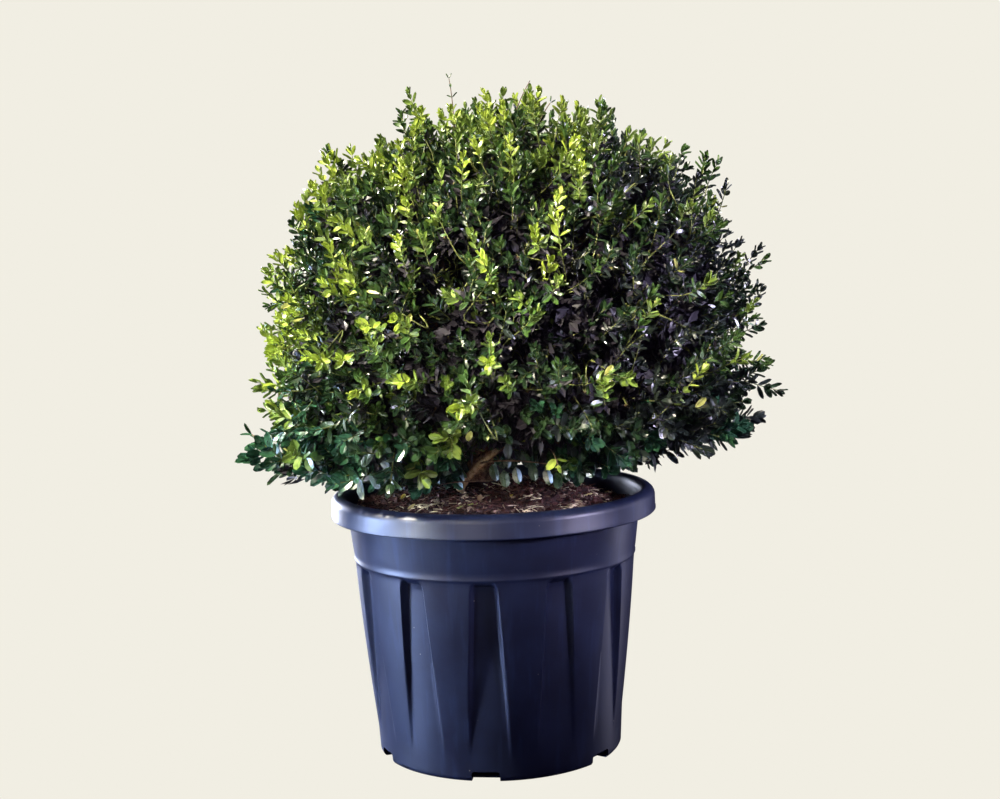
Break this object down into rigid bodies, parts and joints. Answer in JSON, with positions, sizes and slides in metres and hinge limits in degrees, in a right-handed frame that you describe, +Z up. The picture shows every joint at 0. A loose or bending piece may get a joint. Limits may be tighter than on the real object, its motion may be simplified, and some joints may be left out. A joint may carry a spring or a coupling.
{
  "type": "potted japanese holly ball",
  "caption": "Clipped small-leaved evergreen shrub with a round head on a short trunk, rooted in bark compost in a round black nursery pot with a turned-out rim and raised panels.",
  "frame": {"origin": "centre of the pot's flat underside, on the surface that it stands on", "axes": "+Z up; the pictured front faces -Y, with +X to the right"},
  "size_m": [0.6386, 0.5714, 0.7692],
  "materials": {
    "pot_plastic": "satin black moulded plastic with a blue cast",
    "compost": "matt reddish-brown bark and peat compost",
    "bark": "matt grey-brown bark",
    "leaves": "glossy small oval leaves, lime at the tips and dark green inside"
  },
  "bodies": {
    "root": {"pot": "pot_plastic", "soil": "compost", "trunk": "bark", "bough_top": "bark", "bough_upper_front_right": "bark", "bough_upper_right": "bark", "bough_upper_back": "bark", "bough_upper_left": "bark", "bough_upper_front_left": "bark", "bough_lower_front": "bark", "bough_lower_front_right": "bark", "bough_lower_back_right": "bark", "bough_lower_back": "bark", "bough_lower_back_left": "bark", "bough_lower_front_left": "bark", "foliage_top": "leaves", "foliage_upper_front_right": "leaves", "foliage_upper_right": "leaves", "foliage_upper_back": "leaves", "foliage_upper_left": "leaves", "foliage_upper_front_left": "leaves", "foliage_lower_front": "leaves", "foliage_lower_front_right": "leaves", "foliage_lower_back_right": "leaves", "foliage_lower_back": "leaves", "foliage_lower_back_left": "leaves", "foliage_lower_front_left": "leaves"}
  },
  "joints": []
}
